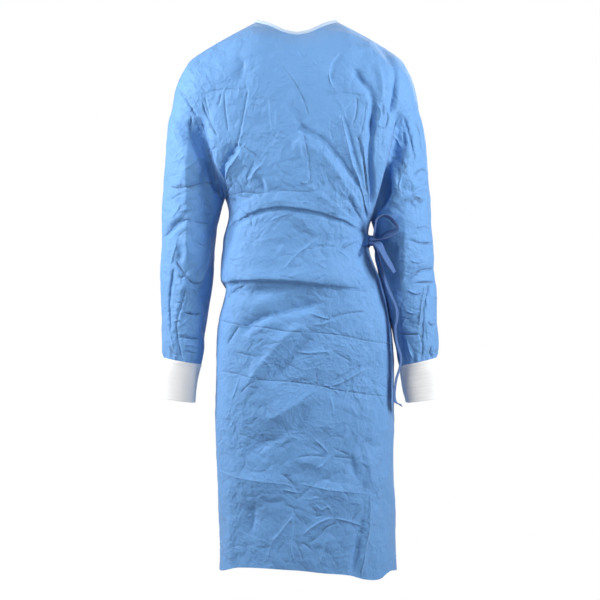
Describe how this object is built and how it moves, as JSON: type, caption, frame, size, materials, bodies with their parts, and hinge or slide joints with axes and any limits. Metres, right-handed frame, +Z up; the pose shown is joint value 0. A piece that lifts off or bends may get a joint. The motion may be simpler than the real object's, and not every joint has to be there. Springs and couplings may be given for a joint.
{
  "type": "surgical gown",
  "caption": "Long-sleeved wrap-back surgical gown with knitted cuffs, a bound round neck and a waist tie knotted in a bow at the wearer's left side, filled out as if worn.",
  "frame": {"origin": "middle of the neck opening, at the height of its highest edge, where the gown hangs on its wearer", "axes": "+Z up, -Y towards the front, +X towards the wearer's left"},
  "size_m": [0.586, 0.2911, 1.1672],
  "materials": {
    "blue_nonwoven": "matte three-layer nonwoven cloth, sky blue, with a faint bonded pattern and pressed creases",
    "tie_tape": "folded strip of the same nonwoven cloth",
    "white_knit": "matte white ribbed knit",
    "white_binding": "matte white binding tape, stitched"
  },
  "bodies": {
    "root": {"front_panel": "blue_nonwoven", "back_panel_lapping": "blue_nonwoven", "back_panel_under": "blue_nonwoven", "sleeve_right": "blue_nonwoven", "sleeve_left": "blue_nonwoven", "cuff_right": "white_knit", "cuff_left": "white_knit", "neck_binding": "white_binding", "neck_fastener": "white_binding", "tie_front": "tie_tape", "tie_back": "tie_tape", "bow_knot": "tie_tape", "bow_loop_upper": "tie_tape", "bow_loop_lower": "tie_tape", "tie_end_long": "tie_tape"}
  },
  "joints": []
}
